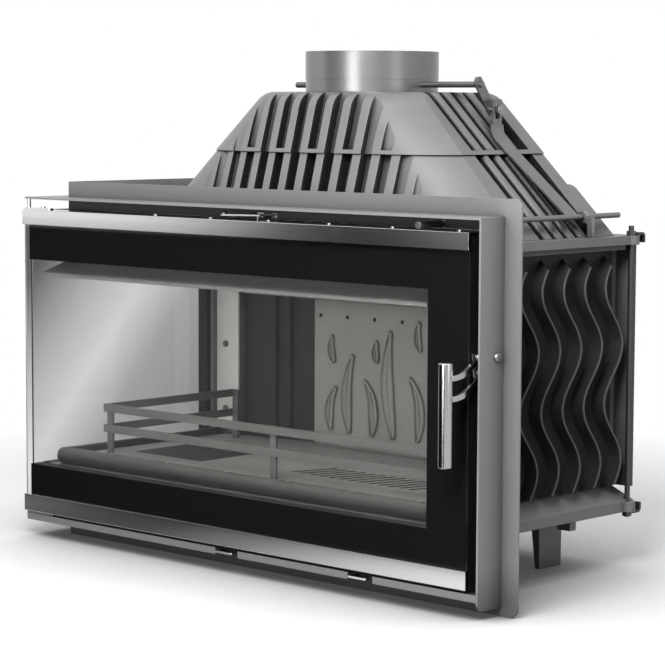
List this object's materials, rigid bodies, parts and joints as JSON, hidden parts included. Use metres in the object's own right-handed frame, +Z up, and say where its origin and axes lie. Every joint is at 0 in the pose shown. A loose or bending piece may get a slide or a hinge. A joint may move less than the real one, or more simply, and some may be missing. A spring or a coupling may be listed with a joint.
{
  "type": "fireplace insert",
  "caption": "Corner fireplace insert: cast firebox glazed in front and on the left, steel surround, ribbed smoke dome, flue collar with damper.",
  "frame": {"origin": "centre of the insert's own bounding box in plan, on the floor under the feet", "axes": "+X runs to the right along the door, +Y runs into the chimney breast away from the door, +Z is up"},
  "size_m": [0.9456, 0.5195, 0.75],
  "materials": {
    "surround_paint": "satin grey stove paint on sheet steel",
    "cast_grey": "grey stove paint on fine-grained castings",
    "cast_dark": "darker unpolished castings inside the firebox",
    "stainless": "brushed stainless",
    "polished": "polished stainless",
    "fixings": "zinc-plated",
    "pane": "clear ceramic glass with a black printed border on the door",
    "rail_steel": "black heat-proof paint",
    "linkage": "dark grey paint on steel",
    "rope": "black braided glass-fibre rope"
  },
  "bodies": {
    "insert": {"frame_top": "surround_paint", "frame_bottom": "surround_paint", "frame_right_leg": "surround_paint", "frame_rear_leg": "surround_paint", "cheek_screw": "fixings", "side_glass": "pane", "side_trim_top": "stainless", "side_trim_bottom": "stainless", "side_frame": "rail_steel", "front_casting": "cast_grey", "base_casting": "cast_grey", "right_wall": "cast_grey", "rear_wall": "cast_grey", "left_post": "cast_grey", "side_plate": "stainless", "plate_screws": "fixings", "left_lining": "cast_dark", "right_lining": "cast_dark", "fireback": "cast_dark", "baffle_plate": "cast_dark", "baffle_lug": "cast_dark", "hearth_sill": "cast_dark", "side_sill": "cast_dark", "sill_studs": "fixings", "hearth_floor": "cast_dark", "hatch_cover": "cast_dark", "ash_pan": "rail_steel", "lid_plate": "cast_grey", "dome_lower": "cast_grey", "dome_upper": "cast_grey", "flue_collar": "cast_grey", "rod_guide": "cast_grey", "feet": "cast_grey", "tie_rods": "fixings", "tie_nuts": "fixings", "clamp_hooks": "cast_grey"},
    "door": {"door_glass": "pane", "door_trim_top": "stainless", "door_trim_bottom": "stainless", "door_frame": "rail_steel", "door_gasket": "rope", "door_screws": "fixings", "door_hinges": "rail_steel", "handle_bolts": "fixings"},
    "handle": {"door_handle": "polished"},
    "damper_rod": {"pull_rod": "linkage", "rod_knob": "linkage", "link_bar": "linkage"},
    "damper": {"damper_shaft": "linkage", "damper_blade": "linkage", "damper_lever": "linkage", "lever_bolt": "fixings"},
    "wash_lever": {"air_lever": "rail_steel"},
    "wash_shutter": {"air_shutter": "rail_steel"},
    "slide_left": {"air_slide_left": "stainless"},
    "slide_right": {"air_slide_right": "stainless"},
    "grate": {"grate": "cast_dark"},
    "guard": {"log_guard": "cast_dark"}
  },
  "joints": [
    {"name": "door_swing", "type": "hinge", "parent": "insert", "child": "door", "pos_m": [-0.46535, -0.20775, 0], "axis": [0, 0, -1], "range_deg": [0, 90]},
    {"name": "handle_turn", "type": "hinge", "parent": "door", "child": "handle", "pos_m": [0.42715, -0.19925, 0.345], "axis": [-1, 0, 0], "range_deg": [0, 30]},
    {"name": "damper_pull", "type": "slide", "parent": "insert", "child": "damper_rod", "axis": [0, -1, 0], "range_m": [0, 0.0589]},
    {"name": "damper_turn", "type": "hinge", "parent": "insert", "child": "damper", "pos_m": [-0.02085, 0.08975, 0.701], "axis": [-1, 0, 0], "range_deg": [0, 82.05]},
    {"name": "wash_turn", "type": "hinge", "parent": "insert", "child": "wash_lever", "pos_m": [0.00315, -0.17525, 0.514], "axis": [0, 0, 1], "range_deg": [-15, 15]},
    {"name": "wash_shift", "type": "slide", "parent": "insert", "child": "wash_shutter", "axis": [-1, 0, 0], "range_m": [-0.00786, 0.00786]},
    {"name": "left_air_shift", "type": "slide", "parent": "insert", "child": "slide_left", "axis": [1, 0, 0], "range_m": [0, 0.01]},
    {"name": "right_air_shift", "type": "slide", "parent": "insert", "child": "slide_right", "axis": [1, 0, 0], "range_m": [0, 0.01]},
    {"name": "grate_lift", "type": "slide", "parent": "insert", "child": "grate", "axis": [0, 0, 1], "range_m": [0, 0.06]},
    {"name": "guard_lift", "type": "slide", "parent": "insert", "child": "guard", "axis": [0, 0, 1], "range_m": [0, 0.05]}
  ],
  "couplings": [
    {"joint": "damper_turn", "follows": "damper_pull", "rad_per_m": 24.298},
    {"joint": "wash_shift", "follows": "wash_turn", "m_per_rad": 0.03}
  ]
}
